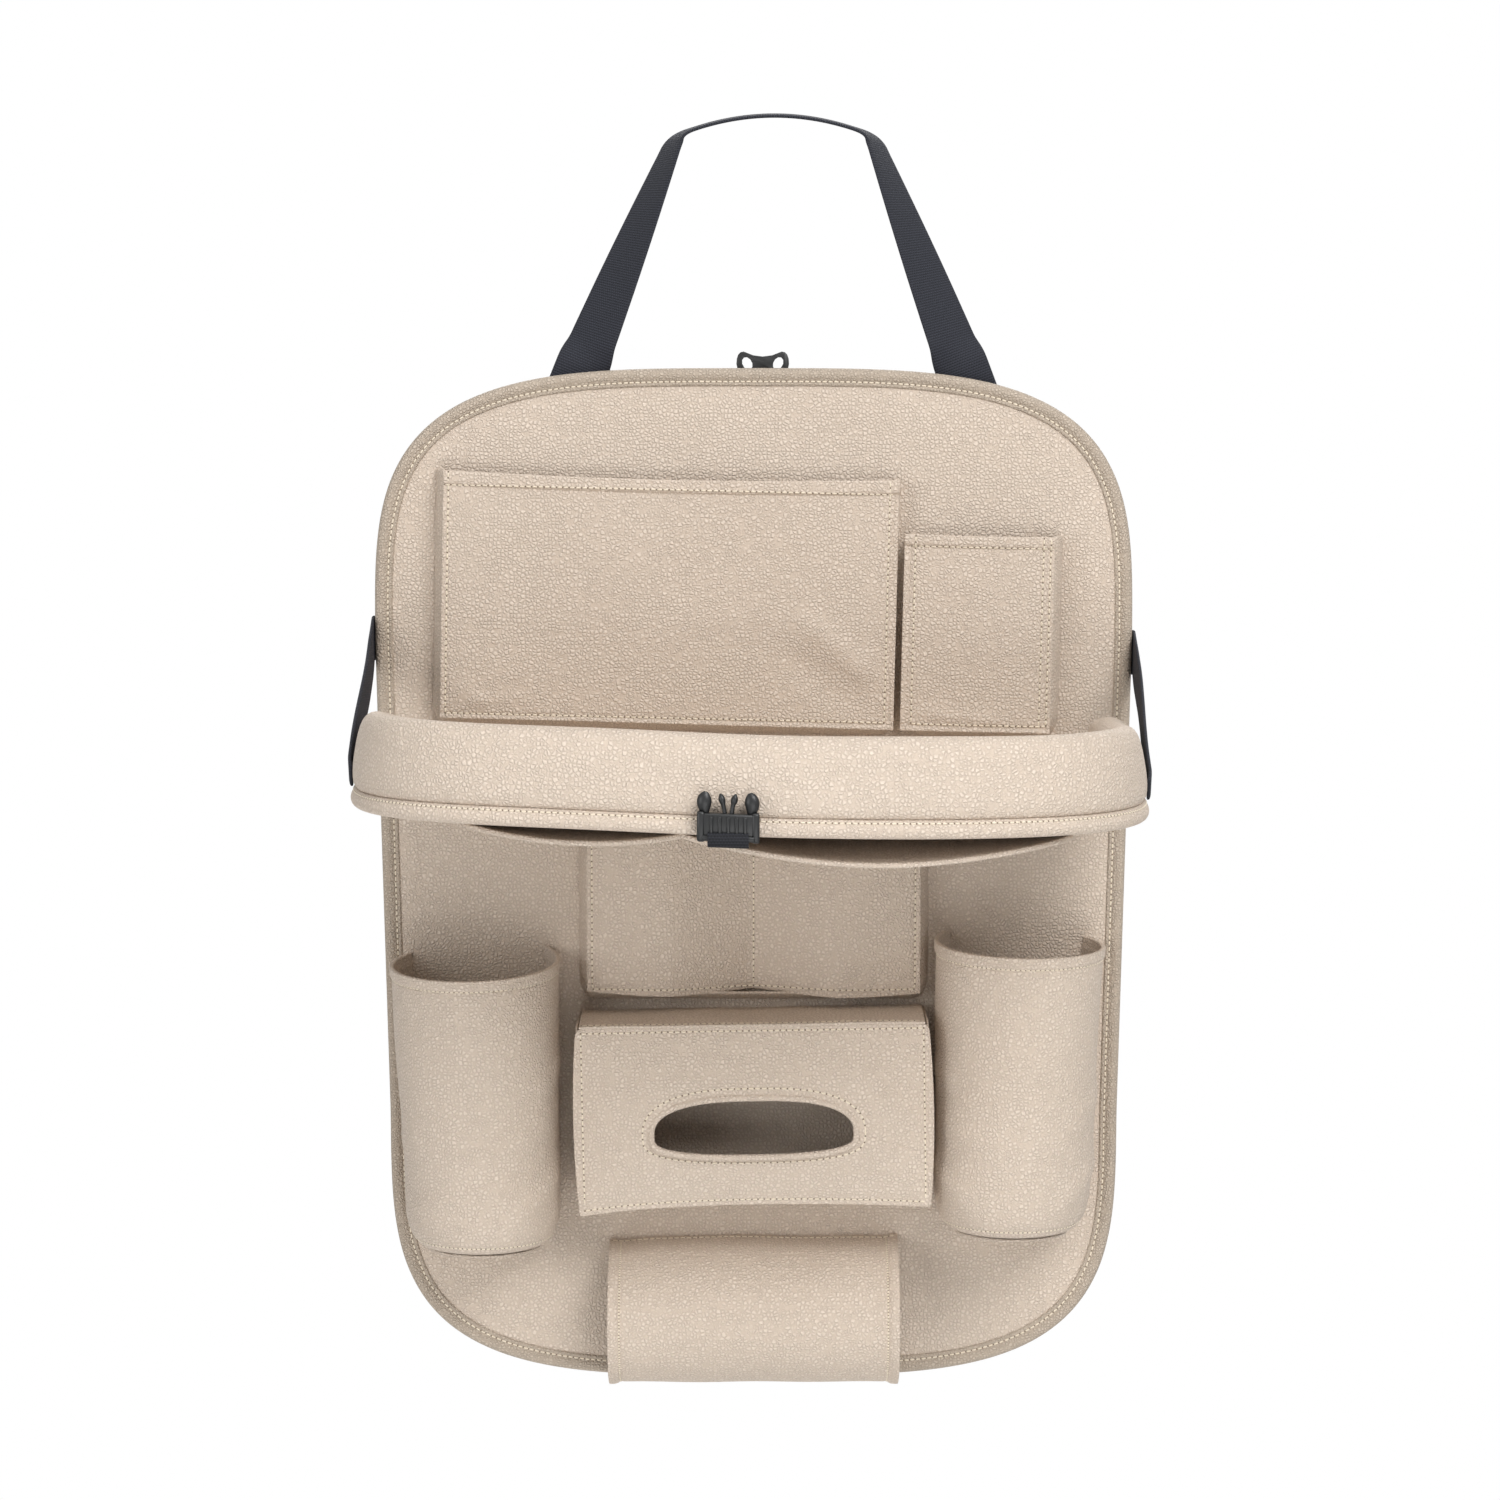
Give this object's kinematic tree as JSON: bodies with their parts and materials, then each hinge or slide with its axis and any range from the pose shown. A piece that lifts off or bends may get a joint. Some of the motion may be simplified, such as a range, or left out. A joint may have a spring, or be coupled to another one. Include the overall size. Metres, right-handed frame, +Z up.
{
  "type": "car seat back organiser",
  "caption": "Padded hanging bag for the back of a car seat, with open pockets, bottle holders, a tissue pocket, an umbrella sleeve and a fold-out tray with a raised rim.",
  "frame": {"origin": "middle of the flat back face, which lies against the back of the seat", "axes": "+Z up, +Y into the seat, -Y towards the person who uses it, +X to the right as the bag is seen"},
  "size_m": [0.4224, 0.3139, 0.7055],
  "materials": {
    "leather": "satin",
    "leather_edge": "satin",
    "lining": "matte",
    "foam": "matte",
    "board": "matte",
    "webbing": "matte",
    "plastic": "satin"
  },
  "bodies": {
    "bag": {"panel_lining": "lining", "panel_foam": "foam", "panel_face": "leather", "panel_binding": "leather_edge", "tablet_pocket_front": "leather", "tablet_pocket_gusset": "leather", "phone_pocket_front": "leather", "phone_pocket_gusset": "leather", "left_bottle_pocket_wall": "leather", "left_bottle_pocket_base": "leather", "right_bottle_pocket_wall": "leather", "right_bottle_pocket_base": "leather", "centre_pocket_front": "leather", "centre_pocket_gusset": "leather", "tissue_pocket_front": "leather", "tissue_slot_piping": "leather_edge", "tissue_pocket_gusset": "leather", "tissue_pocket_flap": "leather", "umbrella_sleeve": "leather", "hinge_strip": "leather", "buckle_socket": "plastic", "buckle_socket_tab": "webbing", "headrest_strap": "webbing", "left_stay_strap": "webbing", "right_stay_strap": "webbing"},
    "tray": {"tray_top_cover": "leather", "tray_board": "board", "tray_bottom_cover": "leather", "tray_edging": "leather_edge", "tray_rim_cover": "leather", "tray_rim_foam": "foam", "tray_pocket": "leather", "tray_buckle": "plastic", "tray_buckle_tab": "webbing"}
  },
  "joints": [
    {"name": "tray_hinge", "type": "hinge", "parent": "bag", "child": "tray", "pos_m": [0, -0.0471, 0.0674], "axis": [-1, 0, 0], "range_deg": [0, 84], "deforming": ["left_stay_strap", "right_stay_strap"]}
  ]
}
